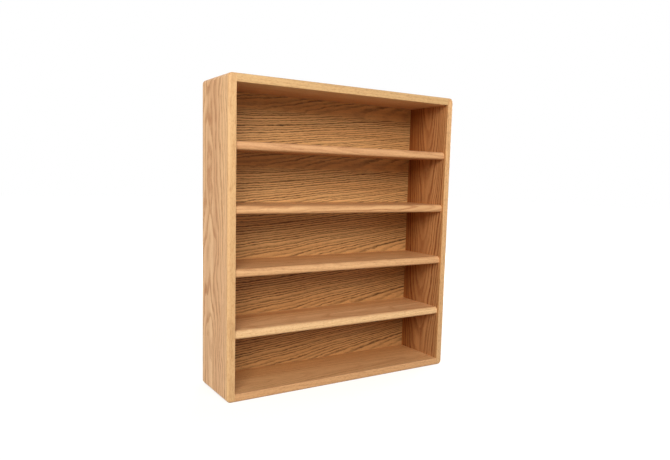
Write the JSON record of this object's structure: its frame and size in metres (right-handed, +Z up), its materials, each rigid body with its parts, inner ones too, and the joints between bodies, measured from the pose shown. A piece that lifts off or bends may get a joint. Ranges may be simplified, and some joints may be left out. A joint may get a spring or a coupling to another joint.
{
  "type": "disc storage rack",
  "caption": "Open-front oak rack with long fixed shelves between two full-height sides, a panelled back and rounded outer corners, for standing disc cases.",
  "frame": {"origin": "on the floor, under the middle of the rack's outline", "axes": "+Z up; +X to the right as seen from the open front; the open front faces -Y"},
  "size_m": [0.689, 0.1746, 0.7874],
  "materials": {
    "oak_board": "clear satin lacquer over solid red oak",
    "oak_plywood": "clear satin lacquer over oak-faced plywood",
    "dowel_wood": "bare beech",
    "brad_steel": "bright steel"
  },
  "bodies": {
    "root": {"left_side": "oak_board", "right_side": "oak_board", "top_board": "oak_board", "bottom_board": "oak_board", "shelf_1": "oak_board", "shelf_2": "oak_board", "shelf_3": "oak_board", "shelf_4": "oak_board", "back_panel": "oak_plywood", "dowels_top_left": "dowel_wood", "dowels_top_right": "dowel_wood", "dowels_bottom_left": "dowel_wood", "dowels_bottom_right": "dowel_wood", "brads_top": "brad_steel", "brads_bottom": "brad_steel", "brads_left": "brad_steel", "brads_right": "brad_steel", "brads_shelf_1": "brad_steel", "brads_shelf_2": "brad_steel", "brads_shelf_3": "brad_steel", "brads_shelf_4": "brad_steel"}
  },
  "joints": []
}
